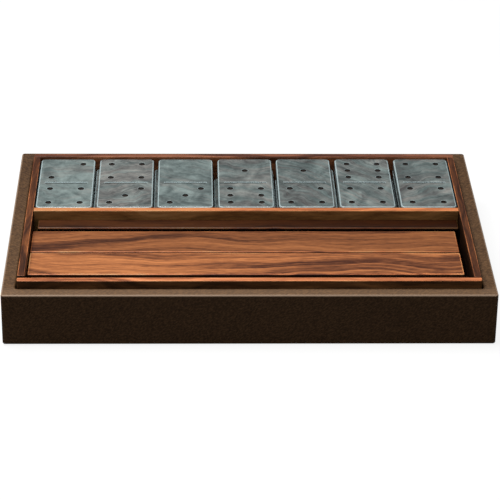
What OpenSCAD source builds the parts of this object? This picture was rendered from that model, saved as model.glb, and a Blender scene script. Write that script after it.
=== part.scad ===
// Domino storage box: a leather-covered case with a walnut tray, 28 nacre dominoes and four tile racks.
// Millimetres. The origin is at the middle of the underside, +Y points to the rear, +Z points up.
// The case and tray are sized from the dominoes and racks that they hold.

/* [Dominoes] */
// Width of a domino
tile_w = 30; // [26:0.5:34]
// Length of a domino
tile_l = 60; // [54:0.5:68]
// Thickness of a domino
tile_t = 6; // [5.5:0.1:8]
// Corner radius of a domino, seen from above
tile_corner_r = 2.4; // [1:0.1:4]
// Width of the bevel round a domino's faces
tile_bevel = 0.5; // [0.2:0.1:0.9]
// Diameter of a pip
pip_d = 2.8; // [2:0.1:4]
// Depth of a pip's recess
pip_depth = 0.5; // [0.2:0.1:1]
// Spacing of neighbouring pips
pip_pitch = 8.4; // [6.5:0.1:9]
// Distance from a domino's end to its outer row of pips
pip_end_margin = 6.2; // [4:0.1:8]
// Width of the dividing groove across a domino
groove_w = 0.9; // [0.4:0.1:1.5]
// Depth of the dividing groove
groove_depth = 0.4; // [0.2:0.1:1]
// Distance from a domino's side to the end of its groove
groove_side_margin = 3.5; // [2:0.1:6]

/* [Domino compartment] */
// Gap between columns of dominoes
tile_gap = 2.7; // [1.5:0.1:5]
// Gap between an end column and the tray's side wall
tile_end_gap = 0.5; // [0.3:0.1:2]
// Gap between the dominoes and the rear wall
tile_back_gap = 0.9; // [0.5:0.1:3]
// Gap between the dominoes and the divider
tile_front_gap = 2.3; // [0.8:0.1:5]
// Drop from the tray's top to the uppermost dominoes
tile_headroom = 1; // [0.5:0.1:3]

/* [Racks] */
// Depth of a rack, from its back to the front of its ledge
rack_d = 24.2; // [20:0.1:30]
// Height of a rack
rack_h = 20; // [17:0.5:22]
// Thickness of a rack's upright
rack_upright_t = 10; // [7:0.5:12]
// Thickness of a rack's ledge
rack_ledge_t = 5; // [3.5:0.5:7]
// Depth of the slot in the ledge in which a domino stands
rack_slot_depth = 1.5; // [0.5:0.1:2.5]
// Clearance of a domino in the slot
rack_slot_clearance = 0.6; // [0.2:0.1:1.5]
// Distance from the upright to the slot
rack_slot_offset = 2; // [1:0.1:3]
// Radius of a rack's long edges
rack_edge_r = 0.8; // [0.3:0.1:1.5]
// Gap between each end of a rack and the tray's side wall
rack_end_gap = 1.85; // [1:0.05:4]
// Gap between a rear rack's upright and the rack turned over it
rack_nest_gap_rear = 3.3; // [1:0.1:5]
// Gap between a front rack's upright and the rack turned over it
rack_nest_gap_front = 2.1; // [1:0.1:5]
// Seam between the two racks that lie turned over
rack_seam = 0.4; // [0.2:0.1:1.5]
// Clearance between the racks and the compartment's front and rear
rack_side_clearance = 0.25; // [0.15:0.05:1]

/* [Tray] */
// Thickness of the walnut walls
wall_t = 3.8; // [3:0.1:6]
// Thickness of the divider between the two compartments
divider_t = 4; // [3:0.1:6]
// Height by which the walls stand above the leather rim, to locate a cover
lip_h = 4.2; // [2:0.1:6]
// Radius of the walls' upper edges
wall_edge_r = 0.6; // [0.2:0.1:1]
// Plan radius of the tray's outer corners
tray_corner_r = 1.3; // [0.3:0.1:3]
// Thickness of the tray's floor panel
floor_t = 2; // [1.5:0.1:4]
// Thickness of the suede linings
lining_t = 0.7; // [0.4:0.1:1.5]
// Gap left round each lining
lining_margin = 0.3; // [0.1:0.1:1]

/* [Case] */
// Width of the leather rim at each side of the tray
rim_side_w = 7.6; // [6:0.1:14]
// Width of the leather rim in front of the tray
rim_front_w = 7.4; // [6:0.1:14]
// Width of the leather rim behind the tray
rim_rear_w = 10; // [6:0.1:16]
// Thickness of the leather
leather_t = 1.2; // [0.8:0.1:1.8]
// Plan radius of the case's corners
case_corner_r = 1.6; // [0.5:0.1:4]
// Depth to which the leather turns down inside the opening
leather_return_h = 10; // [4:0.5:14]
// Width of the leather that is turned in below the case
leather_turn_in = 12; // [6:0.5:20]
// Clearance between the tray and the leather round it
tray_fit = 0.2; // [0.1:0.05:0.6]
// Thickness of the core's base board
base_t = 3.6; // [3:0.1:8]
// Thickness of the pad that the case stands on
pad_t = 1.6; // [1.3:0.1:3]
// Height by which the pad stands below the leather
pad_proud = 0.4; // [0.1:0.05:1]
// Clearance between the pad and the turned-in leather
pad_fit = 0.3; // [0.1:0.1:1]

/* [Hidden] */
// Facets of a full circle, where a shape is drawn with facets
$fn = 48;

// A double-six set: every pair of numbers of pips from 0 to 6, in seven columns of four
max_pips = 6;
columns = 7;
layers = 4;

// The uppermost domino of each column, from left to right: [pips at the rear, pips at the front]
top_pairs = [[2, 4], [4, 3], [0, 3], [1, 6], [1, 4], [6, 4], [4, 4]];

// How far each domino has slid sideways, from the lowest in a column to the uppermost,
// as a share of the gap beside it. Below 0.85 it still lifts out clear of its neighbours.
tile_slide = [
    [-0.2, 0, 0.2, 0.2],
    [-0.1, -0.37, -0.8, 0],
    [0, -0.2, -0.85, -0.03],
    [-0.2, -0.72, 0.42, 0],
    [-0.4, -0.15, 0.82, -0.04],
    [0.07, 0.72, 0.5, 0.02],
    [0.2, 0.2, 0.4, 0.5],
];
// How far a domino may have slid to the front or rear, as a share of the gap behind it
tile_creep = 0.3;

// How far each rack has slid sideways, as a share of the gap at its ends
slide_rear = 0.48;
slide_rear_inverted = -0.8;
slide_front_inverted = -0.76;
slide_front = 0.3;

// The tray's inside
inner_w = columns * tile_w + (columns - 1) * tile_gap + 2 * tile_end_gap;
tile_room_d = tile_l + tile_back_gap + tile_front_gap;
rack_room_d = 2 * (rack_side_clearance + rack_upright_t + rack_d)
    + rack_nest_gap_rear + rack_nest_gap_front + rack_seam;
inner_d = rack_room_d + divider_t + tile_room_d;
frame_w = inner_w + 2 * wall_t;
frame_d = inner_d + 2 * wall_t;

// The case round it
case_w = frame_w + 2 * rim_side_w;
case_d = frame_d + rim_front_w + rim_rear_w;
opening_w = frame_w + 2 * tray_fit;
opening_d = frame_d + 2 * tray_fit;
opening_corner_r = tray_corner_r + tray_fit;

// Heights above the surface that the case stands on
core_z = pad_t;
tray_z = core_z + base_t;
lining_z = tray_z + floor_t;
room_z = lining_z + lining_t;
tray_top_z = room_z + layers * tile_t + tile_headroom;
rim_z = tray_top_z - lip_h;
core_top_z = rim_z - leather_t;

// Places along Y, from the front to the rear
case_front_y = -case_d / 2;
frame_front_y = case_front_y + rim_front_w;
rack_room_y = frame_front_y + wall_t;
divider_y = rack_room_y + rack_room_d;
tile_room_y = divider_y + divider_t;
frame_rear_y = tile_room_y + tile_room_d + wall_t;
frame_mid_y = (frame_front_y + frame_rear_y) / 2;

// Backs of the four racks' uprights or edges along Y
rack_l = inner_w - 2 * rack_end_gap;
rack_rear_y = divider_y - rack_side_clearance;
rear_inverted_y = rack_rear_y - rack_upright_t - rack_nest_gap_rear;
front_inverted_y = rear_inverted_y - rack_d - rack_seam;
rack_front_y = rack_room_y + rack_side_clearance;

// Places on a domino
tile_mid_y = tile_room_y + tile_front_gap + tile_l / 2;
column_pitch = tile_w + tile_gap;
half_mid = tile_l / 2 - pip_end_margin - pip_pitch;

// How far a cutting shape passes the face that it cuts
cut = 1;

// Every pair of a double-six set that doesn't lie on top, in rising order
lower_pairs = [
    for (high = [0:max_pips]) for (low = [0:high])
        if (!is_pair_on_top(low, high)) [low, high]
];

function is_pair_on_top(a, b) = len([for (p = top_pairs) if (p == [a, b] || p == [b, a]) p]) > 0;

// The pair of numbers on a domino. Columns and layers count from 0, and layer 0 is the lowest.
function pair_at(column, layer) =
    layer == layers - 1 ? top_pairs[column] : lower_pairs[column * (layers - 1) + layer];

// The places of 0 to 6 pips on half a domino, in steps of pip_pitch
function pip_spots(number) =
    let (
        middle = [[0, 0]],
        diagonal = [[1, 1], [-1, -1]],
        other_diagonal = [[-1, 1], [1, -1]],
        side_pair = [[-1, 0], [1, 0]]
    )
    number == 0 ? [] :
    number == 1 ? middle :
    number == 2 ? diagonal :
    number == 3 ? concat(diagonal, middle) :
    number == 4 ? concat(diagonal, other_diagonal) :
    number == 5 ? concat(diagonal, other_diagonal, middle) :
    concat(diagonal, other_diagonal, side_pair);

// Where a domino lies
function tile_x(column, layer) =
    let (is_end = column == 0 || column == columns - 1)
    (column - (columns - 1) / 2) * column_pitch
        + tile_slide[column][layer] * (is_end ? tile_end_gap : tile_gap);
function tile_y(column, layer) =
    tile_mid_y + tile_creep * tile_back_gap * sin(97 * (column * layers + layer));
function tile_z(layer) = room_z + layer * tile_t;

function tile_name(column, layer) = str("tile_", column + 1, "_", layer + 1);

// A rectangle about the origin with round corners
module rounded_rect(w, d, r) {
    square([w - 2 * r, d], center = true);
    square([w, d - 2 * r], center = true);
    for (x = [-1, 1], y = [-1, 1])
        translate([x * (w / 2 - r), y * (d / 2 - r)]) circle(r);
}

// A block that is centred along X and Y and stands on z
module block(w, d, h, z, y = 0) {
    translate([-w / 2, y - d / 2, z]) cube([w, d, h]);
}

// A board between two places along Y, with its upper long edges rounded. Its length runs along X.
module board_along_x(l, y0, y1, z0, z1, r) {
    translate([-l / 2, 0, 0]) rotate([90, 0, 90]) linear_extrude(l) round_topped(y0, y1, z0, z1, r);
}

// The same with its length along Y, from y0 to y1, and between two places along X
module board_along_y(x0, x1, y0, y1, z0, z1, r) {
    translate([0, y1, 0]) rotate([90, 0, 0]) linear_extrude(y1 - y0) round_topped(x0, x1, z0, z1, r);
}

// An upright rectangle with its two upper corners rounded
module round_topped(a0, a1, z0, z1, r) {
    translate([a0, z0]) square([a1 - a0, z1 - z0 - r]);
    translate([a0 + r, z0]) square([a1 - a0 - 2 * r, z1 - z0]);
    for (a = [a0 + r, a1 - r]) translate([a, z1 - r]) circle(r);
}

module base_pad() {
    color("#2b211b")
        linear_extrude(pad_t) rounded_rect(
            case_w - 2 * (leather_turn_in + pad_fit),
            case_d - 2 * (leather_turn_in + pad_fit),
            case_corner_r
        );
}

// One skin: over the rim, down the outside, in under the base and a little way down the opening
module leather_wrap() {
    color("#5d4733") difference() {
        translate([0, 0, pad_proud]) linear_extrude(rim_z - pad_proud) rounded_rect(case_w, case_d, case_corner_r);
        difference() {
            block(case_w - 2 * leather_t, case_d - 2 * leather_t, core_top_z - core_z, core_z);
            // The turned-down leather inside the opening stays
            translate([0, frame_mid_y, rim_z - leather_return_h]) linear_extrude(leather_return_h)
                rounded_rect(opening_w + 2 * leather_t, opening_d + 2 * leather_t, opening_corner_r + leather_t);
        }
        translate([0, frame_mid_y, core_z]) linear_extrude(rim_z)
            rounded_rect(opening_w, opening_d, opening_corner_r);
        block(case_w - 2 * leather_turn_in, case_d - 2 * leather_turn_in, core_z + cut, -cut);
    }
}

module core_base() {
    color("#b79a72") block(case_w - 2 * leather_t, case_d - 2 * leather_t, base_t, core_z);
}

// Half the size of the hollow between the core's rails
core_room_x = opening_w / 2 + leather_t;
core_room_front_y = frame_front_y - tray_fit - leather_t;
core_room_rear_y = frame_rear_y + tray_fit + leather_t;

// A rail of the core from its front to its rear face, as long as the core is wide
module cross_rail(y0, y1) {
    color("#b79a72") block(case_w - 2 * leather_t, y1 - y0, core_top_z - tray_z, tray_z, (y0 + y1) / 2);
}

// A rail between the cross rails, on the side that the sign gives
module side_rail(side) {
    rail_w = case_w / 2 - leather_t - core_room_x;
    color("#b79a72") translate([side * (core_room_x + rail_w / 2), 0, 0])
        block(rail_w, core_room_rear_y - core_room_front_y, core_top_z - tray_z, tray_z,
            (core_room_front_y + core_room_rear_y) / 2);
}

module core_front_rail() {
    cross_rail(case_front_y + leather_t, core_room_front_y);
}

module core_rear_rail() {
    cross_rail(core_room_rear_y, case_d / 2 - leather_t);
}

module core_left_rail() {
    side_rail(-1);
}

module core_right_rail() {
    side_rail(1);
}

// A wall of the tray over its full width, with the tray's outer corners rounded
module cross_wall(y0) {
    color("#a56744") intersection() {
        board_along_x(frame_w, y0, y0 + wall_t, tray_z, tray_top_z, wall_edge_r);
        translate([0, frame_mid_y, tray_z]) linear_extrude(tray_top_z - tray_z)
            rounded_rect(frame_w, frame_d, tray_corner_r);
    }
}

module frame_front() {
    cross_wall(frame_front_y);
}

module frame_rear() {
    cross_wall(frame_rear_y - wall_t);
}

module side_wall(x0) {
    color("#9a5d3b") board_along_y(x0, x0 + wall_t, rack_room_y, frame_rear_y - wall_t,
        tray_z, tray_top_z, wall_edge_r);
}

module frame_left() {
    side_wall(-frame_w / 2);
}

module frame_right() {
    side_wall(inner_w / 2);
}

module divider() {
    color("#a56744") board_along_x(inner_w, divider_y, tile_room_y, lining_z, tray_top_z, wall_edge_r);
}

module tray_floor() {
    color("#c9ab82") block(inner_w, inner_d, floor_t, tray_z, frame_mid_y);
}

// A suede sheet on the floor of a compartment that begins at y0
module lining(y0, room_d) {
    color("#3a2c22")
        block(inner_w - 2 * lining_margin, room_d - 2 * lining_margin, lining_t, lining_z, y0 + room_d / 2);
}

module tile_lining() {
    lining(tile_room_y, tile_room_d);
}

module rack_lining() {
    lining(rack_room_y, rack_room_d);
}

// The end view of a rack: its back at 0, its ledge towards the right, its underside at 0
module rack_profile() {
    slot_w = tile_t + rack_slot_clearance;
    difference() {
        union() {
            soft_rectangle(rack_upright_t, rack_h, rack_edge_r);
            soft_rectangle(rack_d, rack_ledge_t, rack_edge_r);
            square([rack_upright_t, rack_ledge_t]);
        }
        square_corner_cut(rack_edge_r);
        translate([rack_upright_t + rack_slot_offset, rack_ledge_t - rack_slot_depth])
            square([slot_w, rack_slot_depth + cut]);
    }
}

// A rectangle from the origin with round corners
module soft_rectangle(w, h, r) {
    translate([w / 2, h / 2]) rounded_rect(w, h, r);
}

// What is taken off a square corner at the origin to round it
module square_corner_cut(r) {
    difference() {
        translate([-cut, -cut]) square(r + cut);
        translate([r, r]) circle(r);
    }
}

// A rack with its back at the origin's plane and its ledge towards the front, standing on its underside
module rack() {
    color("#b06d45") rotate([0, 0, -90]) rotate([90, 0, 0])
        translate([0, 0, -rack_l / 2]) linear_extrude(rack_l) rack_profile();
}

// The same rack turned over, so that its ledge is uppermost
module rack_turned_over() {
    translate([0, 0, rack_h]) mirror([0, 0, 1]) rack();
}

module rack_rear() {
    translate([slide_rear * rack_end_gap, rack_rear_y, room_z]) rack();
}

// The upright hangs at the front, and the ledge reaches over the rear rack's ledge
module rack_rear_inverted() {
    translate([slide_rear_inverted * rack_end_gap, rear_inverted_y - rack_d, room_z])
        mirror([0, 1, 0]) rack_turned_over();
}

// The upright hangs at the rear, and the ledge reaches over the front rack's ledge
module rack_front_inverted() {
    translate([slide_front_inverted * rack_end_gap, front_inverted_y, room_z]) rack_turned_over();
}

module rack_front() {
    translate([slide_front * rack_end_gap, rack_front_y, room_z]) mirror([0, 1, 0]) rack();
}

// A slab with bevelled faces and round corners, centred on the origin and standing on z = 0
module domino_slab() {
    straight_w = tile_w - 2 * tile_corner_r;
    straight_l = tile_l - 2 * tile_corner_r;
    side_h = tile_t - 2 * tile_bevel;
    translate([0, straight_l / 2, 0]) rotate([90, 0, 0]) linear_extrude(straight_l) bevelled_section(tile_w);
    translate([-straight_w / 2, 0, 0]) rotate([90, 0, 90]) linear_extrude(straight_w) bevelled_section(tile_l);
    for (x = [-1, 1], y = [-1, 1])
        translate([x * straight_w / 2, y * straight_l / 2, 0]) {
            cylinder(h = tile_bevel, r1 = tile_corner_r - tile_bevel, r2 = tile_corner_r);
            translate([0, 0, tile_bevel]) cylinder(h = side_h, r = tile_corner_r);
            translate([0, 0, tile_bevel + side_h])
                cylinder(h = tile_bevel, r1 = tile_corner_r, r2 = tile_corner_r - tile_bevel);
        }
}

// A section through a domino that is w wide
module bevelled_section(w) {
    b = tile_bevel;
    polygon([
        [-w / 2 + b, 0], [w / 2 - b, 0], [w / 2, b], [w / 2, tile_t - b],
        [w / 2 - b, tile_t], [-w / 2 + b, tile_t], [-w / 2, tile_t - b], [-w / 2, b]
    ]);
}

// A domino with its pips and groove on top: pair is [pips at the rear, pips at the front]
module domino(pair) {
    groove_l = tile_w - 2 * groove_side_margin;
    color("#6e7875") difference() {
        domino_slab();
        translate([-groove_l / 2, -groove_w / 2, tile_t - groove_depth])
            cube([groove_l, groove_w, groove_depth + cut]);
        for (half = [0, 1], spot = pip_spots(pair[half]))
            translate([spot[0] * pip_pitch, (1 - 2 * half) * half_mid + spot[1] * pip_pitch, tile_t - pip_depth])
                cylinder(h = pip_depth + cut, d = pip_d);
    }
}

module tile(column, layer) {
    translate([tile_x(column, layer), tile_y(column, layer), tile_z(layer)]) domino(pair_at(column, layer));
}

base_pad();
leather_wrap();
core_base();
core_front_rail();
core_rear_rail();
core_left_rail();
core_right_rail();
frame_front();
frame_rear();
frame_left();
frame_right();
divider();
tray_floor();
tile_lining();
rack_lining();
rack_rear();
rack_rear_inverted();
rack_front_inverted();
rack_front();
for (column = [0:columns - 1], layer = [0:layers - 1])
    tile(column, layer);
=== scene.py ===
"""Domino storage box: a leather-covered case with a walnut tray, tile racks and nacre dominoes.

Lengths in the modelling calls are millimetres, and MM turns them into metres.
"""

import math

import bmesh
import bpy
from mathutils import Matrix, Vector


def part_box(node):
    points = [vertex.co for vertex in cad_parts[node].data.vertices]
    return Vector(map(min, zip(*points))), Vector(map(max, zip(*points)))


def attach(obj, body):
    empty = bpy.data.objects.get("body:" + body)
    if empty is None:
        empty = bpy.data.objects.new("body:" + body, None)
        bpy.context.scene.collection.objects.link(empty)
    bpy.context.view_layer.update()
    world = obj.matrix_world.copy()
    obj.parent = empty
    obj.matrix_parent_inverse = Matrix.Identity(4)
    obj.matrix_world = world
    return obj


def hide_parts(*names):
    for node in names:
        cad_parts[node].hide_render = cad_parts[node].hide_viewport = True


MM = 0.001
FLAT_TO_SMOOTH = math.radians(38)

# The material slots of a piece: its faces, the edges that a bevel has rounded, and two more
FACE = 0
ARRIS = 1
THIRD = 2
FOURTH = 3
SLOTS = 4

# A face whose normal leans less than this from an axis counts as facing along it
FACES_AXIS = 0.9

# Places on the case that the leather's finish depends on, in metres. The front rim's painted light runs from
# RIM_FRONT out towards the front edge.
TRAY_LEFT = -0.1174
RIM_FRONT = -0.0740
RIM_FRONT_LIT_EDGE = -0.0785
RIM_Z = 0.0287

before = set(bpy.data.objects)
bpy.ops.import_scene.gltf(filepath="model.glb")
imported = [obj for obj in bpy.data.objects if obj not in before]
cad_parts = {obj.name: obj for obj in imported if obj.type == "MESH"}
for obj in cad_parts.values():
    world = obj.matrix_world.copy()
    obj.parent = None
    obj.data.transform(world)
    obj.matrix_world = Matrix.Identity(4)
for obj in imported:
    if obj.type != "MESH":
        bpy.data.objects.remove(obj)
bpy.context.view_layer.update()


# Choosing and shaping


def only(piece):
    """Selects one piece alone and makes it the active one."""
    bpy.ops.object.select_all(action="DESELECT")
    piece.select_set(True)
    bpy.context.view_layer.objects.active = piece


def block(name, low, high):
    """A box between two corners, as the start of a piece."""
    low = Vector(low) * MM
    high = Vector(high) * MM
    bpy.ops.object.select_all(action="DESELECT")
    bpy.ops.mesh.primitive_cube_add(size=1, location=(low + high) / 2)
    piece = bpy.context.object
    piece.name = name
    piece.scale = high - low
    bpy.ops.object.transform_apply(location=True, rotation=True, scale=True)
    add_slots(piece)
    return piece


def add_slots(piece):
    """Empty material slots, so that a bevel can tell its faces from the others."""
    for _ in range(SLOTS):
        piece.data.materials.append(None)


def pick(piece, kind, test):
    """In edit mode, selects the vertices, edges or faces that pass a test, and nothing else."""
    bpy.ops.mesh.select_mode(type={"verts": "VERT", "edges": "EDGE", "faces": "FACE"}[kind])
    bpy.ops.mesh.select_all(action="DESELECT")
    mesh = bmesh.from_edit_mesh(piece.data)
    mesh.normal_update()
    for part in getattr(mesh, kind):
        if test(part):
            part.select_set(True)
    bmesh.update_edit_mesh(piece.data)


def ends(edge):
    """The two ends of an edge."""
    return edge.verts[0].co / MM, edge.verts[1].co / MM


def near(a, b):
    """True if two lengths are the same, but for rounding."""
    return abs(a - b) < 0.02


def runs_along(edge, axis):
    """True if an edge is parallel to an axis."""
    a, b = ends(edge)
    return all(near(a[other], b[other]) for other in range(3) if other != axis)


def round_edges(radius, segments, slot=ARRIS):
    """Rounds the edges that are selected."""
    bpy.ops.mesh.bevel(
        offset=radius * MM, segments=segments, affect="EDGES", profile=0.5,
        material=slot, clamp_overlap=False,
    )


def push_out(x=0, y=0, z=0):
    """Extrudes the faces that are selected."""
    bpy.ops.mesh.extrude_region_move(TRANSFORM_OT_translate={"value": (x * MM, y * MM, z * MM)})


def mark(piece, slot, test):
    """In object mode, gives a material slot to the faces that pass a test."""
    for face in piece.data.polygons:
        if test(face.center / MM, face.normal):
            face.material_index = slot


def edit(piece):
    """Opens one piece in edit mode."""
    only(piece)
    bpy.ops.object.mode_set(mode="EDIT")


def leave_edit():
    bpy.ops.object.mode_set(mode="OBJECT")


def modify(piece, kind, **settings):
    """Adds a modifier and applies it."""
    only(piece)
    modifier = piece.modifiers.new(kind.lower(), kind)
    for key, value in settings.items():
        setattr(modifier, key, value)
    bpy.ops.object.modifier_apply(modifier=modifier.name)


def smooth(piece):
    """Smooth bevels beside flat faces."""
    only(piece)
    bpy.ops.object.shade_smooth_by_angle(angle=FLAT_TO_SMOOTH)
    modify(piece, "WEIGHTED_NORMAL", keep_sharp=True, weight=100)


def copy_of(piece, name):
    """A copy with its own mesh."""
    twin = piece.copy()
    twin.data = piece.data.copy()
    twin.name = name
    bpy.context.scene.collection.objects.link(twin)
    return twin


def corners(piece):
    """The lowest and highest corner of a piece."""
    places = [vertex.co for vertex in piece.data.vertices]
    low = Vector(min(place[axis] for place in places) for axis in range(3))
    high = Vector(max(place[axis] for place in places) for axis in range(3))
    return low, high


def seat_at(piece, node):
    """Puts a piece where a node is, with its place in its mesh."""
    only(piece)
    bpy.ops.object.transform_apply(location=True, rotation=True, scale=True)
    low, high = corners(piece)
    node_low, node_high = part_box(node)
    piece.location = (node_low + node_high - low - high) / 2
    bpy.ops.object.transform_apply(location=True, rotation=False, scale=False)


def note(piece, name, left, right=None):
    """Keeps a number that the material reads. With two, it changes from the left end to the right."""
    right = left if right is None else right
    low, high = corners(piece)
    shares = [(vertex.co.x - low.x) / (high.x - low.x) for vertex in piece.data.vertices]
    attribute = piece.data.attributes.new(name, "FLOAT", "POINT")
    attribute.data.foreach_set("value", [left + (right - left) * share for share in shares])


def dress(piece, *materials):
    """Gives a piece its materials, slot by slot, and keeps each face's slot."""
    slots = [face.material_index for face in piece.data.polygons]
    piece.data.materials.clear()
    for material in materials:
        piece.data.materials.append(material)
    for face, slot in zip(piece.data.polygons, slots):
        face.material_index = min(slot, len(materials) - 1)


def hand_over(piece, body, slot, *nodes):
    """Puts a finished piece on a body, in the place of nodes."""
    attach(piece, body)
    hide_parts(*nodes)


# Materials


def paint(red, green, blue):
    """A colour as a screen shows it, from 0 to 255, as the shader's numbers."""
    def straight(value):
        value = value / 255
        return value / 12.92 if value <= 0.04045 else ((value + 0.055) / 1.055) ** 2.4
    return (straight(red), straight(green), straight(blue), 1)


class Wire:
    """The output of a node. Arithmetic on it adds Math nodes."""

    def __init__(self, finish, socket):
        self.finish = finish
        self.socket = socket

    def maths(self, operation, first, second):
        return self.finish.node("Math", {"operation": operation}, {0: first, 1: second})

    def __add__(self, other):
        return self.maths("ADD", self, other)

    def __radd__(self, other):
        return self.maths("ADD", other, self)

    def __sub__(self, other):
        return self.maths("SUBTRACT", self, other)

    def __rsub__(self, other):
        return self.maths("SUBTRACT", other, self)

    def __mul__(self, other):
        return self.maths("MULTIPLY", self, other)

    def __rmul__(self, other):
        return self.maths("MULTIPLY", other, self)

    def low_limit(self, other):
        return self.maths("MAXIMUM", self, other)

    def above(self, other):
        return self.maths("GREATER_THAN", self, other)


class Finish:
    """One material and the nodes in it."""

    def __init__(self, name, world=None):
        self.data = world or bpy.data.materials.new(name)
        self.data.use_nodes = True
        self.tree = self.data.node_tree
        self.tree.nodes.clear()

    def node(self, kind, settings=None, values=None, out=0):
        """Adds a node: first its settings or a ramp's stops, then its sockets' values or links."""
        made = self.tree.nodes.new("ShaderNode" + kind)
        for key, value in (settings or {}).items():
            if key == "stops":
                self.set_stops(made.color_ramp.elements, value)
            else:
                setattr(made, key, value)
        for key, value in (values or {}).items():
            if isinstance(value, Wire):
                self.tree.links.new(value.socket, made.inputs[key])
            else:
                made.inputs[key].default_value = value
        return Wire(self, made.outputs[out]) if made.outputs else None

    def set_stops(self, elements, stops):
        while len(elements) < len(stops):
            elements.new(0.5)
        for element, (place, colour) in zip(elements, stops):
            element.position = place
            element.color = colour

    def places(self):
        """Object coordinates, one wire for each axis."""
        spot = self.node("TexCoord", out="Object")
        return [self.node("SeparateXYZ", values={0: spot}, out=axis) for axis in range(3)]

    def vector(self, x, y, z):
        return self.node("CombineXYZ", values={0: x, 1: y, 2: z})

    def noise(self, where, scale, detail=2, roughness=0.5, distortion=0):
        return self.node("TexNoise", values={
            "Vector": where, "Scale": scale, "Detail": detail,
            "Roughness": roughness, "Distortion": distortion,
        })

    def ramp(self, value, *stops):
        return self.node("ValToRGB", {"stops": stops}, {0: value})

    def span(self, value, low, high, to_low=0, to_high=1):
        """Carries a range of values over to another, clamped at both ends."""
        return self.node("MapRange", values={0: value, 1: low, 2: high, 3: to_low, 4: to_high})

    def blend(self, factor, first, second, way="MIX"):
        """Mixes two colours."""
        return self.node(
            "Mix", {"data_type": "RGBA", "blend_type": way}, {0: factor, 6: first, 7: second}, out=2
        )

    def kept(self, name):
        """A number that note() has kept on the piece."""
        return self.node("Attribute", {"attribute_name": name}, out="Fac")

    def relief(self, height, depth, strength=1):
        return self.node("Bump", values={"Height": height, "Distance": depth * MM, "Strength": strength})

    def shade(self, **values):
        """The surface itself. Names are the shader's sockets, with _ for a space."""
        sockets = {key.replace("_", " "): value for key, value in values.items()}
        surface = self.node("BsdfPrincipled", values=sockets)
        self.node("OutputMaterial", values={0: surface})
        return self.data


def walnut(name, grain_axis, tones, gloss=0.36, depth=1.0, drift=0.0):
    """Oiled walnut. Growth rings meander along the grain, with fibres and short pores between.

    depth says how much of the painted shade kept on a piece the material takes, and drift how
    much its tone changes slowly along the grain.
    """
    finish = Finish(name)
    spot = finish.places()
    board = finish.kept("board")
    gloom = finish.kept("gloom")
    along = spot[grain_axis] + board * 0.731
    across = spot[1 - grain_axis] + board * 0.113
    deep = spot[2] + board * 0.057

    # Rings, seen as long streaks that swing to and fro and close into arcs
    swing = finish.noise(finish.vector(along * 16, across * 9, deep * 9), 1, 1) - 0.5
    wave = finish.noise(finish.vector(along * 48, across * 70, deep * 70 + 4.7), 1, 2) - 0.5
    ring = across + deep * 0.55 + swing * 0.024 + wave * 0.0040
    wide = finish.noise(finish.vector(ring * 120, along * 3, board), 1, 3, 0.6)
    narrow = finish.noise(finish.vector(ring * 430, along * 10, board + 3), 1, 3, 0.65)
    fibre = finish.noise(finish.vector(along * 120, across * 1100, deep * 1100), 1, 3, 0.75)
    pore = finish.noise(finish.vector(along * 260, across * 2600, deep * 2600 + 9), 1, 1, 0.5)
    pores = finish.span(pore, 0.62, 0.74)

    tone = (
        0.60
        + finish.span(wide, 0.50, 0.32) * 0.12
        - finish.span(wide, 0.47, 0.66) * 0.48
        + (narrow - 0.5) * 1.10
        + (fibre - 0.5) * 1.00
    )
    if drift:
        slow = finish.noise(finish.vector(along * 22, across * 12, board * 1.7), 1, 2, 0.6)
        tone = tone + (finish.span(slow, 0.36, 0.64) - 0.5) * drift
    stain, dark, middle, light = tones
    colour = finish.ramp(tone, (0.10, stain), (0.32, dark), (0.60, middle), (0.90, light))
    colour = finish.blend(pores * 0.30, colour, stain)
    # Painted shade: the colour is multiplied towards a dark brown by the piece's painted shade, times depth.
    colour = finish.blend(gloom * depth, colour, paint(58, 44, 25), "MULTIPLY")
    height = fibre * 0.5 - pores * 0.8
    return finish.shade(
        Base_Color=colour,
        Roughness=finish.span(tone, 0, 1, gloss + 0.10, gloss),
        Specular_IOR_Level=0.18,
        Normal=finish.relief(height, 0.05, 0.5),
    )


def leather(name, lift=0.0, roughness=0.52):
    """Dark brown leather with a fine slanting grain that follows it over the case's edge.

    lift says how strong a painted highlight is along the rounded upper edge, where the leather bends over.
    """
    finish = Finish(name)
    x, y, z = finish.places()
    left = 1 - x.above(TRAY_LEFT)
    slant = 1 - left * 2
    fold = y + z
    along = x * 0.77 + fold * slant * 0.64
    across = fold * 0.77 - x * slant * 0.64
    grain = finish.noise(finish.vector(along * 700, across * 1700, z * 400), 1, 2, 0.5)
    weave = finish.noise(finish.vector(x * 1500, y * 1500, z * 1500), 1, 2, 0.6)
    cloud = finish.noise(finish.vector(x * 22, y * 34, z * 40), 1, 2)
    ridges = finish.span(grain, 0.34, 0.66)
    # Painted shade: the leather is darker towards the rear, more so left of the tray.
    rear = finish.span(y, -0.04, 0.08)
    tone = ridges * 0.52 + weave * 0.34 + cloud * 0.14 - rear * (0.07 + left * 0.12)
    colour = finish.ramp(
        tone, (0.12, paint(62, 42, 26)), (0.50, paint(96, 69, 44)), (0.80, paint(122, 90, 60)),
    )
    # Painted light: the top of the front rim gets paler towards its front edge.
    front_rim_light = finish.span(y, RIM_FRONT, RIM_FRONT_LIT_EDGE) * z.above(RIM_Z - 0.6 * MM)
    colour = finish.blend(front_rim_light * 0.17, colour, paint(190, 156, 126))
    if lift:
        # Painted highlight: a pale band along the rounded upper edge, from just below the top to about 0.7 mm
        # down.
        upper_edge_highlight = (
            finish.span(z, RIM_Z + 0.02 * MM, RIM_Z - 0.1 * MM)
            * finish.span(z, RIM_Z - 1.0 * MM, RIM_Z - 0.7 * MM)
        )
        colour = finish.blend(upper_edge_highlight * lift, colour, paint(214, 184, 158))
    height = ridges * 0.65 + weave * 0.5
    return finish.shade(
        Base_Color=colour,
        Roughness=finish.span(tone, 0.2, 0.8, roughness + 0.06, roughness - 0.06),
        Specular_IOR_Level=0.22,
        Normal=finish.relief(height, 0.10, 0.5),
    )


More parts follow.
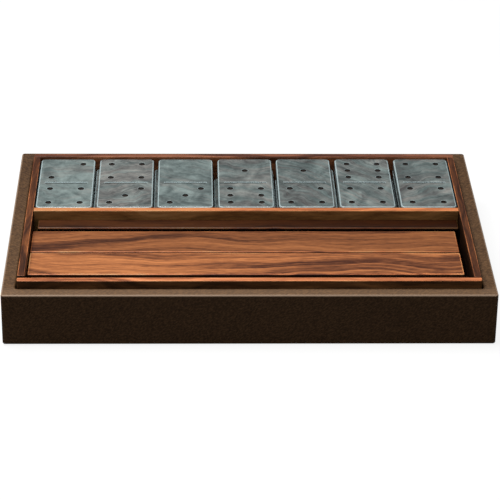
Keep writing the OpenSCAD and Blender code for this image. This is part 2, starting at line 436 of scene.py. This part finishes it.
def nacre(name, edge=0.0):
    """Grey mother-of-pearl: clouded layers under a polish, with a breath of green and pink.

    edge says how much of a pale painted highlight it takes.
    """
    finish = Finish(name)
    x, y, z = finish.places()
    seed = finish.kept("shell")
    warmth = finish.kept("warmth")
    turn = finish.kept("turn")
    streak = finish.kept("streak")
    light = finish.kept("light")
    drift = finish.vector(x * 34 + seed * 3.1, y * 30 + seed, z * 40)
    warp = finish.noise(drift, 1, 3, 0.55) - 0.5
    level = x * turn * 60 + y * 72 + warp * 2.6
    layers = finish.noise(finish.vector(level * 2.6, x * 14 + seed * 5, z * 30), 1, 4, 0.62)
    lines = finish.noise(finish.vector(level * 13, x * 26, seed), 1, 3, 0.6)
    cloud = finish.noise(finish.vector(x * 85 + seed * 7, y * 70, z * 60), 1, 4, 0.6, 0.7)
    fleck = finish.noise(finish.vector(x * 420, y * 300, z * 300), 1, 3, 0.6, 0.6)
    tone = (
        finish.span(cloud, 0.30, 0.70) * 0.62
        + finish.span(layers, 0.32, 0.68) * 0.34
        + (finish.span(lines, 0.34, 0.66) - 0.5) * streak * 0.8
        + (fleck - 0.5) * 0.42
        + light
    )
    grey = finish.ramp(
        tone, (0.05, paint(56, 68, 68)), (0.42, paint(97, 111, 110)), (0.95, paint(150, 166, 163)),
    )
    rosy = finish.ramp(
        tone, (0.05, paint(68, 66, 66)), (0.42, paint(108, 109, 107)), (0.95, paint(160, 158, 152)),
    )
    hue = finish.noise(finish.vector(x * 40, level * 3 + seed, z * 40), 1, 2)
    colour = finish.blend(finish.span(hue + warmth - 0.5, 0.34, 0.66), grey, rosy)
    # Painted highlight: edges are blended towards a pale blue-white.
    if edge:
        colour = finish.blend(edge, colour, paint(205, 226, 229))
    return finish.shade(
        Base_Color=colour,
        Roughness=finish.span(tone, 0, 1, 0.34, 0.24),
        Specular_IOR_Level=0.5,
        Coat_Weight=0.3,
        Coat_Roughness=0.12,
        Normal=finish.relief(layers + fleck * 0.4, 0.03, 0.25),
    )


def speckled(name, dark, light, grain, relief, roughness, stretch=(1, 1, 1)):
    """Pip paint, suede and plain board: two near tones in a fine grain."""
    finish = Finish(name)
    x, y, z = finish.places()
    where = finish.vector(x * stretch[0], y * stretch[1], z * stretch[2])
    fine = finish.noise(where, grain, 4, 0.65)
    patch = finish.noise(where, grain * 0.06, 2)
    tone = fine * 0.7 + patch * 0.3
    return finish.shade(
        Base_Color=finish.ramp(tone, (0.32, dark), (0.66, light)),
        Roughness=finish.span(tone, 0.3, 0.7, roughness + 0.06, roughness - 0.06),
        Specular_IOR_Level=0.25,
        Normal=finish.relief(fine, relief, 0.6),
    )


RACK_TONES = (paint(78, 40, 25), paint(126, 74, 46), paint(188, 116, 70), paint(230, 147, 90))
# Paler tones for the racks' rounded edges: painted highlight.
RACK_EDGE_HIGHLIGHT_TONES = (paint(130, 72, 46), paint(196, 114, 70), paint(252, 156, 98), paint(255, 186, 124))
# Dark tones for the racks' upright faces: painted shade.
RACK_SHADED_SIDE_TONES = (paint(36, 19, 11), paint(58, 34, 20), paint(86, 53, 33), paint(112, 72, 46))
WALL_TONES = (paint(54, 28, 15), paint(78, 43, 24), paint(106, 61, 34), paint(144, 86, 48))
# Paler tones for the side walls' rounded edges: painted highlight.
WALL_EDGE_HIGHLIGHT_TONES = (paint(84, 46, 27), paint(130, 74, 43), paint(186, 112, 66), paint(232, 148, 92))
REAR_TONES = (paint(78, 42, 30), paint(106, 62, 44), paint(140, 86, 62), paint(168, 108, 80))
REAR_EDGE_TONES = (paint(70, 40, 28), paint(100, 60, 42), paint(142, 90, 66), paint(180, 118, 88))
# Paler tones for the rear wall's upright faces, which stand in shade: painted light.
REAR_INNER_LIT_TONES = (paint(90, 52, 32), paint(126, 76, 48), paint(168, 104, 68), paint(196, 130, 88))
# Paler tones for the front wall's top: painted light.
FRONT_LIT_TONES = (paint(134, 76, 46), paint(188, 110, 68), paint(236, 146, 94), paint(255, 170, 116))
# Paler tones for the divider's top: painted light.
DIVIDER_LIT_TONES = (paint(165, 95, 57), paint(209, 123, 75), paint(244, 152, 96), paint(255, 180, 118))
# Paler tones for the rounded edges of the divider and the front wall: painted highlight.
DIVIDER_EDGE_HIGHLIGHT_TONES = (paint(170, 98, 60), paint(218, 130, 80), paint(248, 156, 98), paint(255, 178, 120))
# A more golden copy for the divider's upright faces, so that they look olive in shade: a painted tint of
# shade.
SHADE_TINT_TONES = (paint(146, 106, 62), paint(180, 134, 80), paint(212, 162, 102), paint(236, 188, 126))
# Darker tones for the front wall's upright faces: painted shade.
SHADED_TONES = (paint(66, 45, 26), paint(96, 66, 40), paint(124, 88, 54), paint(160, 116, 74))
# Near-black tones for the side walls' upright faces and front ends: painted shade.
DEEP_SHADE_TONES = (paint(22, 12, 6), paint(36, 20, 10), paint(52, 31, 17), paint(72, 44, 25))

rack_wood = walnut("walnut_rack", 0, RACK_TONES)
rack_arris_highlight = walnut("walnut_rack_arris", 0, RACK_EDGE_HIGHLIGHT_TONES, 0.30, 0.9, 0.7)
rack_shaded_side = walnut("walnut_rack_side", 0, RACK_SHADED_SIDE_TONES)
rear_wood = walnut("walnut_rear", 0, REAR_TONES)
rear_arris = walnut("walnut_rear_arris", 0, REAR_EDGE_TONES, 0.30, 1.0, 0.5)
rear_inner_lit = walnut("walnut_rear_inner", 0, REAR_INNER_LIT_TONES)
front_lit_wood = walnut("walnut_front", 0, FRONT_LIT_TONES)
side_wood = walnut("walnut_side", 1, WALL_TONES)
side_arris_highlight = walnut("walnut_side_arris", 1, WALL_EDGE_HIGHLIGHT_TONES, 0.30, 1.0, 0.6)
side_shaded_faces = walnut("walnut_side_inner", 1, DEEP_SHADE_TONES)
divider_lit_wood = walnut("walnut_divider", 0, DIVIDER_LIT_TONES)
divider_arris_highlight = walnut("walnut_divider_arris", 0, DIVIDER_EDGE_HIGHLIGHT_TONES, 0.30, 1.0, 0.2)
divider_shade_tinted_face = walnut("walnut_divider_face", 0, SHADE_TINT_TONES)
shaded_face = walnut("walnut_front_face", 0, SHADED_TONES)
leather_hide = leather("leather")
# Leather for the upper outer edge, with a painted highlight.
leather_edge_highlight = leather("leather_edge_highlight", 0.55, 0.44)
shell_face = nacre("nacre")
# Nacre for the dominoes' rounded edges and the groove's slope, with a painted highlight.
shell_arris_highlight = nacre("nacre_arris", 0.65)
# Nacre for the rims round the pips: bare shell, with a weaker painted highlight.
shell_ring_highlight = nacre("nacre_pip_ring", 0.2)
pip_paint = speckled("pip_paint", paint(26, 21, 19), paint(44, 36, 32), 900, 0.03, 0.42)
floor_suede = speckled("lining_suede", paint(46, 34, 26), paint(70, 54, 42), 2400, 0.12, 0.9)
pad_suede = speckled("base_suede", paint(36, 27, 22), paint(56, 43, 35), 2400, 0.12, 0.9)
core_board = speckled("core_board", paint(160, 132, 96), paint(196, 168, 126), 700, 0.08, 0.7, (0.3, 1, 1))
ply = speckled("floor_panel", paint(172, 142, 104), paint(208, 178, 136), 500, 0.05, 0.6, (0.2, 1, 1))


# The leather skin


def quarter(radius, count):
    """Steps across and up that follow a quarter of a circle, starting straight up."""
    turns = [step * math.pi / 2 / count for step in range(count + 1)]
    places = [(radius * (1 - math.cos(turn)), radius * math.sin(turn)) for turn in turns]
    return [(b[0] - a[0], b[1] - a[1]) for a, b in zip(places, places[1:])]


def widen(across, middle, size):
    """Scales what is selected about a middle, so that each side moves out by a length."""
    bpy.ops.transform.resize(
        value=(1 + 2 * across / size.x, 1 + 2 * across / size.y, 1), center_override=middle * MM
    )


def leather_skin():
    """One skin over the rim, down the outside and in below the base, and down the opening."""
    low, high = (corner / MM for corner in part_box("leather_wrap"))
    lip_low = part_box("frame_front")[0] / MM
    lip_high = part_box("frame_rear")[1] / MM
    joint = Vector((0.75, 0.02, 0))
    lip_low -= joint
    lip_high += joint
    edge_radius = 0.9
    edge_steps = 5
    turned_in = 12
    thickness = 0.8
    up = Vector((0, 0, edge_radius))

    # The opening's side, which flares at the top. It is made too low and raised when it's joined
    lift = 10
    bottom = 18.7 - lift
    lining = block("leather_lining", (*lip_low.xy, bottom), (*lip_high.xy, high.z - edge_radius - lift))
    edit(lining)
    pick(lining, "edges", lambda edge: runs_along(edge, 2))
    round_edges(1.5, 6, FACE)
    middle = (lip_low + lip_high) / 2
    size = lip_high - lip_low
    pick(lining, "faces", lambda face: face.normal.z > FACES_AXIS)
    for across, rise in quarter(edge_radius, edge_steps):
        push_out(z=rise)
        widen(across, middle, size)
        size += Vector((2 * across, 2 * across, 0))
    bpy.ops.mesh.delete(type="FACE")
    pick(lining, "faces", lambda face: near(face.calc_center_median().z / MM, bottom))
    bpy.ops.mesh.delete(type="FACE")
    leave_edit()

    # The outside, with its edges rounded above and below, and the flap under the base
    piece = block("leather_skin", low + up, high - up)
    edit(piece)
    pick(piece, "edges", lambda edge: runs_along(edge, 2))
    round_edges(1.6, 6, FACE)
    pick(piece, "faces", lambda face: face.normal.z > FACES_AXIS)
    for across, rise in quarter(edge_radius, edge_steps):
        bpy.ops.mesh.inset(thickness=across * MM, depth=rise * MM)
    bpy.ops.mesh.delete(type="FACE")
    pick(piece, "faces", lambda face: face.normal.z < -FACES_AXIS)
    for across, rise in quarter(edge_radius, edge_steps):
        bpy.ops.mesh.inset(thickness=across * MM, depth=rise * MM)
    push_out()
    widen(-turned_in, (low + high) / 2, high - low)
    bpy.ops.mesh.delete(type="FACE")
    leave_edit()

    only(piece)
    lining.select_set(True)
    bpy.ops.object.join()
    edit(piece)
    pick(piece, "edges", lambda edge: len(edge.link_faces) == 1
         and all(near(end.z, high.z) or near(end.z, high.z - lift) for end in ends(edge)))
    bpy.ops.mesh.bridge_edge_loops()

    def is_lining(vertex):
        x, y, z = vertex.co / MM
        flare = 1.5
        above_flap = z > 8
        return above_flap and abs(x) < lip_high.x + flare and lip_low.y - flare < y < lip_high.y + flare

    pick(piece, "verts", is_lining)
    bpy.ops.transform.translate(value=(0, 0, lift * MM))
    bpy.ops.mesh.select_all(action="SELECT")
    bpy.ops.mesh.normals_make_consistent(inside=False)
    leave_edit()

    def is_upper_edge(place, normal):
        at_outside = (
            abs(place.x) > high.x - edge_radius
            or place.y < low.y + edge_radius
            or place.y > high.y - edge_radius
        )
        return at_outside and place.z > high.z - edge_radius and 0.15 < normal.z < 0.995

    # The upper outer edge takes the leather with the painted highlight.
    mark(piece, ARRIS, is_upper_edge)
    modify(piece, "SOLIDIFY", thickness=thickness * MM, offset=-1, use_even_offset=True)
    smooth(piece)
    dress(piece, leather_hide, leather_edge_highlight)
    hand_over(piece, "case", "leather", "leather_wrap")


# The walnut tray


def plank(name, node, corner_radius=0, shorten=(0, 0)):
    """A wall of the tray, with its upper edges and its ends eased.

    corner_radius is for the tray's outer corners. shorten takes a little off the ends along Y.
    """
    low, high = (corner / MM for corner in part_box(node))
    low.y += shorten[0]
    high.y -= shorten[1]
    outer_y = low.y if low.y < 0 else high.y
    piece = block(name, low, high)
    edit(piece)
    if corner_radius:
        pick(piece, "edges", lambda edge: runs_along(edge, 2) and near(ends(edge)[0].y, outer_y))
        round_edges(corner_radius, 6)

    def is_eased(edge):
        a, b = ends(edge)
        on_top = near(a.z, high.z) and near(b.z, high.z)
        is_end = runs_along(edge, 2) and not (corner_radius and abs(a.y - outer_y) < corner_radius + 0.1)
        return on_top or is_end

    # The rounded edges take the arris copy of the walnut, paler on all but the rear wall: painted highlight.
    pick(piece, "edges", is_eased)
    round_edges(0.45, 4)
    leave_edit()
    return piece


def finish_wood(piece, seed, materials, gloom):
    """Smooths and dresses a piece of walnut. The last argument is the painted shade at its left and right
    end.
    """
    smooth(piece)
    dress(piece, *materials)
    note(piece, "board", seed)
    note(piece, "gloom", *gloom)


def tray_walls():
    sides = (side_wood, side_arris_highlight, side_shaded_faces)
    front = (front_lit_wood, divider_arris_highlight, shaded_face, rear_wood)
    # The last column is a painted shade at each piece's left and right end; the divider is darker at its left
    # end.
    rows = (
        ("wall_front", "frame_front", 1.3, (0, 0), 1.2, front, (0, 0)),
        ("wall_rear", "frame_rear", 1.3, (0, 0), 2.3, (rear_wood, rear_arris, rear_inner_lit), (0, 0)),
        ("wall_left", "frame_left", 0, (1.7, 0.05), 3.1, sides, (0, 0)),
        ("wall_right", "frame_right", 0, (0.1, 0.05), 4.4, sides, (0, 0)),
        ("wall_between", "divider", 0, (0, 0), 5.7, (divider_lit_wood, divider_arris_highlight, divider_shade_tinted_face), (0.3, 0)),
    )
    for name, node, corner_radius, shorten, seed, materials, gloom in rows:
        piece = plank(name, node, corner_radius, shorten)

        # The upright faces, then the sides' front ends or the front wall's inner face. These take copies of
        # the walnut tuned to how they look in light or shade: near-black on the sides and darker on the front
        # wall, painted shade; golden on the divider, a painted tint of shade; paler on the rear wall, painted
        # light.
        mark(piece, THIRD, lambda place, normal: abs(normal.z) < 0.6)
        if materials is sides:
            mark(piece, THIRD, lambda place, normal: normal.y < -0.3)
        if materials is front:
            mark(piece, FOURTH, lambda place, normal: normal.y > 0.5)
        finish_wood(piece, seed, materials, gloom)
        hand_over(piece, "case", "walnut_frame", node)


# The racks


def rack():
    """A rack that stands on its underside, its upright at the rear and a slotted ledge in front."""
    half_length = 111.75
    depth = 24.2
    height = 20
    upright = 10
    ledge = 5
    beyond = 5
    slot_depth = 1.5
    slot_rear = depth - upright - 2
    slot_front = slot_rear - 6.6
    piece = block("rack_pattern", (-half_length, 0, 0), (half_length, depth, ledge))
    edit(piece)
    bpy.ops.mesh.select_all(action="SELECT")
    bpy.ops.mesh.bisect(plane_co=(0, (depth - upright) * MM, 0), plane_no=(0, 1, 0))
    pick(piece, "faces", lambda face: face.normal.z > FACES_AXIS
         and face.calc_center_median().y > (depth - upright) * MM)
    push_out(z=height - ledge)

    # The cut that helped to shape it goes, so that long edges end at the rack's ends
    pick(piece, "edges", lambda edge: len(edge.link_faces) == 2
         and edge.link_faces[0].normal.dot(edge.link_faces[1].normal) > 0.999)
    bpy.ops.mesh.dissolve_edges(use_verts=True)

    # The rounded edges take the paler arris copy of the walnut: painted highlight.
    pick(piece, "edges", lambda edge: runs_along(edge, 0) and edge.is_convex)
    round_edges(1.0, 4)
    pick(piece, "edges", lambda edge: all(near(abs(end.x), half_length) for end in ends(edge))
         and not runs_along(edge, 0))
    round_edges(0.7, 3)
    leave_edit()

    slot = block(
        "slot_cutter",
        (-half_length - beyond, slot_front, ledge - slot_depth),
        (half_length + beyond, slot_rear, ledge + beyond),
    )
    modify(piece, "BOOLEAN", object=slot, operation="DIFFERENCE", solver="EXACT", material_mode="INDEX")
    bpy.data.objects.remove(slot)
    return piece


def racks():
    """Four racks, two of them turned over. side_below and face_above sort their faces by their normal."""
    pattern = rack()
    turned_over = (math.pi, 0, 0)
    # Columns: name, node, turn, seed, painted shade at the left and right end, side_below, face_above. Racks
    # a and d take the most painted shade.
    rows = (
        ("tile_rack_a", "rack_rear", (0, 0, 0), 1.4, (0.90, 1.0), 0.3, 0.9),
        ("tile_rack_b", "rack_rear_inverted", turned_over, 7.5, (0.40, 0.44), 0.6, 2),
        ("tile_rack_c", "rack_front_inverted", (0, math.pi, 0), 11.9, (0.14, 0.02), 0.6, 2),
        ("tile_rack_d", "rack_front", (0, 0, math.pi), 9.2, (0.88, 0.88), 0.6, 2),
    )
    for name, node, turn, seed, gloom, side_below, face_above in rows:
        piece = copy_of(pattern, name)
        piece.rotation_euler = turn
        seat_at(piece, node)
        # Upright faces take the dark side copy of the walnut: painted shade.
        mark(piece, THIRD, lambda place, normal: abs(normal.z) < side_below)
        mark(piece, FACE, lambda place, normal: normal.z > face_above)
        finish_wood(piece, seed, (rack_wood, rack_arris_highlight, rack_shaded_side), gloom)
        hand_over(piece, node, "walnut_rack", node)
    bpy.data.objects.remove(pattern)


# The dominoes

TILE_W = 30
TILE_L = 60
TILE_T = 6
TILE_CORNER_R = 2.4
TILE_EDGE_R = 0.7
PIP_PITCH = 8.4
HALF_MID = 15.4
PIP_R = 1.7
GROOVE_END = 3.5

# Where the straight part of a cutter ends, just below a domino's face, and how far it goes on above
CUT_RIM = -0.08
CUT_BEYOND = 0.5
COLUMNS = 7
LAYERS = 4

# Pips of the upper dominoes, from left to right: at the rear, at the front
TOP_PAIRS = ((2, 4), (4, 3), (0, 3), (1, 6), (1, 4), (6, 4), (4, 4))

# The pips' places on half a domino, in steps of PIP_PITCH
DIAGONAL = ((1, 1), (-1, -1))
OTHER_DIAGONAL = ((-1, 1), (1, -1))
SIDE_PAIR = ((-1, 0), (1, 0))
MIDDLE = ((0, 0),)
SPOTS = (
    (), MIDDLE, DIAGONAL, DIAGONAL + MIDDLE, DIAGONAL + OTHER_DIAGONAL,
    DIAGONAL + OTHER_DIAGONAL + MIDDLE, DIAGONAL + OTHER_DIAGONAL + SIDE_PAIR,
)

# How the nacre of each upper domino looks, from left to right: shell, warmth, turn, streak, light
SHELL_LOOKS = (
    (1.0, 0.38, 0.2, 0.15, 0.14),
    (2.0, 0.60, -0.25, 0.55, 0.02),
    (3.0, 0.34, 0.6, 0.25, 0.05),
    (4.0, 0.52, 0.3, 0.30, 0.0),
    (5.0, 0.45, 0.9, 0.45, -0.07),
    (6.0, 0.46, 1.2, 0.40, 0.0),
    (7.0, 0.48, -0.7, 0.35, -0.04),
)
SHELL_NOTES = ("shell", "warmth", "turn", "streak", "light")


def lower_pairs():
    """The rest of a double-six set, in rising order."""
    return [
        (low, high)
        for high in range(7) for low in range(high + 1)
        if (low, high) not in TOP_PAIRS and (high, low) not in TOP_PAIRS
    ]


def slab():
    """A blank domino with round corners and eased faces, its top at z = 0."""
    piece = block("slab_pattern", (-TILE_W / 2, -TILE_L / 2, -TILE_T), (TILE_W / 2, TILE_L / 2, 0))
    edit(piece)
    pick(piece, "edges", lambda edge: runs_along(edge, 2))
    round_edges(TILE_CORNER_R, 6, FACE)
    # The rounded top and bottom edges take the edge nacre, with its painted highlight.
    for level in (0, -TILE_T):
        pick(piece, "edges", lambda edge: all(near(end.z, level) for end in ends(edge)))
        round_edges(TILE_EDGE_R, 3)
    leave_edit()
    return piece


def pip_cutter():
    """What is cut out for a pip: a straight cup below a short flare."""
    cup_floor = -0.50
    bpy.ops.object.select_all(action="DESELECT")
    bpy.ops.mesh.primitive_cylinder_add(
        vertices=24, radius=PIP_R * MM, depth=(CUT_RIM - cup_floor) * MM,
        location=(0, 0, (CUT_RIM + cup_floor) / 2 * MM),
    )
    piece = bpy.context.object
    piece.name = "pip_cutter"
    bpy.ops.object.transform_apply(location=True, rotation=False, scale=False)
    add_slots(piece)
    edit(piece)
    pick(piece, "faces", lambda face: face.normal.z > FACES_AXIS)
    push_out(z=-2 * CUT_RIM)
    bpy.ops.transform.resize(value=(1.32, 1.32, 1), center_override=(0, 0, 0))
    push_out(z=CUT_BEYOND)
    leave_edit()
    mark(piece, THIRD, lambda place, normal: place.z < CUT_RIM + 0.01)
    # The flare takes the ring nacre, with its weaker painted highlight.
    mark(piece, FOURTH, lambda place, normal: place.z >= CUT_RIM + 0.01)
    return piece


def groove_cutter():
    """What is cut out for the line across a domino: a groove with a long slope at its rear."""
    half_length = TILE_W / 2 - GROOVE_END
    front = -0.6
    piece = block("groove_cutter", (-half_length, front, -0.85), (half_length, 0.4, CUT_RIM))
    edit(piece)
    pick(piece, "faces", lambda face: face.normal.z > FACES_AXIS)
    push_out(z=-2 * CUT_RIM)
    bpy.ops.transform.resize(value=(1.03, 2.2, 1), center_override=(0, front * MM, 0))
    push_out(z=CUT_BEYOND)
    leave_edit()
    mark(piece, THIRD, lambda place, normal: place.z < CUT_RIM - 0.01)
    # The slope takes the edge nacre, with its painted highlight.
    mark(piece, ARRIS, lambda place, normal: place.z >= CUT_RIM - 0.01)
    return piece


def cut_marks(blank, pair, name, patterns):
    """A domino with its two numbers of pips and its groove."""
    piece = copy_of(blank, name)
    pip, groove = patterns
    cutters = [copy_of(groove, "cutter")]
    for half, number in enumerate(pair):
        for across, along in SPOTS[number]:
            cutter = copy_of(pip, "cutter")
            middle = HALF_MID if half == 0 else -HALF_MID
            cutter.location = (across * PIP_PITCH * MM, (middle + along * PIP_PITCH) * MM, 0)
            cutters.append(cutter)
    bpy.ops.object.select_all(action="DESELECT")
    for cutter in cutters:
        cutter.select_set(True)
    bpy.context.view_layer.objects.active = cutters[0]
    bpy.ops.object.join()
    bpy.ops.object.transform_apply(location=True, rotation=True, scale=True)
    modify(piece, "BOOLEAN", object=cutters[0], operation="DIFFERENCE", solver="EXACT", material_mode="INDEX")
    bpy.data.objects.remove(cutters[0])
    return piece


def dominoes():
    """The set, in columns from left to right and layers from the bottom."""
    blank = slab()
    patterns = (pip_cutter(), groove_cutter())
    for pattern in (blank, *patterns):
        dress(pattern, shell_face, shell_arris_highlight, pip_paint, shell_ring_highlight)
    pairs = lower_pairs()
    for column in range(COLUMNS):
        for layer in range(LAYERS):
            on_top = layer == LAYERS - 1
            pair = TOP_PAIRS[column] if on_top else pairs[column * (LAYERS - 1) + layer]
            node = f"tile_{column + 1}_{layer + 1}"
            piece = cut_marks(blank, pair, f"domino_{column + 1}_{layer + 1}", patterns)
            seat_at(piece, node)
            smooth(piece)
            looks = SHELL_LOOKS[(column + (LAYERS - 1 - layer) * 2) % COLUMNS]
            for key, value in zip(SHELL_NOTES, looks):
                note(piece, key, value)
            hand_over(piece, node, "nacre", node)
    for pattern in (blank, *patterns):
        bpy.data.objects.remove(pattern)


# What the case hides keeps its own shape and gets a finish


def hidden_parts():
    """Materials for the solids that are shown as they are."""
    rows = (
        (core_board, ("core_base", "core_front_rail", "core_rear_rail", "core_left_rail", "core_right_rail")),
        (ply, ("tray_floor",)),
        (floor_suede, ("tile_lining", "rack_lining")),
        (pad_suede, ("base_pad",)),
    )
    for material, nodes in rows:
        for node in nodes:
            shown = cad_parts[node]
            shown.data.materials.clear()
            shown.data.materials.append(material)


# Floor, light and camera


def seen_directly(finish, glossy_share):
    """1 where the camera looks, past glass too, and a share of it for reflections."""
    camera = finish.node("LightPath", out="Is Camera Ray")
    glossy = finish.node("LightPath", out="Is Glossy Ray")
    clear = finish.node("LightPath", out="Is Transmission Ray")
    return camera.low_limit(clear).low_limit(glossy * glossy_share)


def studio():
    """A white floor that keeps the object's shadow, and white all round."""
    bpy.ops.object.select_all(action="DESELECT")
    bpy.ops.mesh.primitive_plane_add(size=6, location=(0, 0, -0.0001))
    floor = bpy.context.object
    floor.name = "studio_floor"
    finish = Finish("studio_floor")
    seen = seen_directly(finish, 0.12)
    pale = finish.node("BsdfDiffuse", values={0: (0.9, 0.9, 0.9, 1)})
    white = finish.node("Emission", values={0: (1, 1, 1, 1), 1: 1.1})
    lifted = finish.node("MixShader", values={0: 0.8, 1: pale, 2: white})
    dim = finish.node("BsdfDiffuse", values={0: (0.10, 0.10, 0.10, 1)})
    shown = finish.node("MixShader", values={0: seen, 1: dim, 2: lifted})
    finish.node("OutputMaterial", values={0: shown})
    floor.data.materials.append(finish.data)

    world = bpy.data.worlds.new("studio")
    bpy.context.scene.world = world
    finish = Finish("studio", world)
    seen = seen_directly(finish, 0.15)
    ambient = finish.node("Background", values={0: (1, 0.97, 0.94, 1), 1: 0.10})
    white = finish.node("Background", values={0: (1, 1, 1, 1), 1: 1.0})
    both = finish.node("MixShader", values={0: seen, 1: ambient, 2: white})
    finish.node("OutputWorld", values={0: both})


def lamp():
    """One large soft lamp above the box, a little to the left."""
    place = Vector((-0.26, 0.08, 0.95))
    target = Vector((0, 0, 0.02))
    data = bpy.data.lights.new("overhead", "AREA")
    data.shape = "RECTANGLE"
    data.size = 0.70
    data.size_y = 0.6
    data.energy = 10.2
    light = bpy.data.objects.new("overhead", data)
    bpy.context.scene.collection.objects.link(light)
    light.location = place
    light.rotation_euler = (target - place).to_track_quat("-Z", "Y").to_euler()


def camera():
    """The place, turn and lens that the photograph's perspective gives."""
    place = Vector((-29.17, -1074.1, 574.5))
    tilt, yaw, roll = (math.radians(angle) for angle in (27.69, 1.66, 0.76))
    focal_pixels = 2258.3
    picture_pixels = 500
    ahead = Vector((math.sin(yaw) * math.cos(tilt), math.cos(yaw) * math.cos(tilt), -math.sin(tilt)))
    level = Vector((math.cos(yaw), -math.sin(yaw), 0))
    upward = level.cross(ahead)
    right = level * math.cos(roll) + upward * math.sin(roll)
    top = upward * math.cos(roll) - level * math.sin(roll)
    data = bpy.data.cameras.new("camera")
    data.sensor_width = 36
    data.lens = focal_pixels * data.sensor_width / picture_pixels
    data.clip_start = 0.05
    data.clip_end = 20
    view = bpy.data.objects.new("camera", data)
    bpy.context.scene.collection.objects.link(view)
    turn = Matrix((right, top, -ahead)).transposed().to_4x4()
    view.matrix_world = Matrix.Translation(place * MM) @ turn
    bpy.context.scene.camera = view


camera()
leather_skin()
tray_walls()
racks()
dominoes()
hidden_parts()
studio()
lamp()

bpy.context.scene.view_settings.view_transform = "Standard"
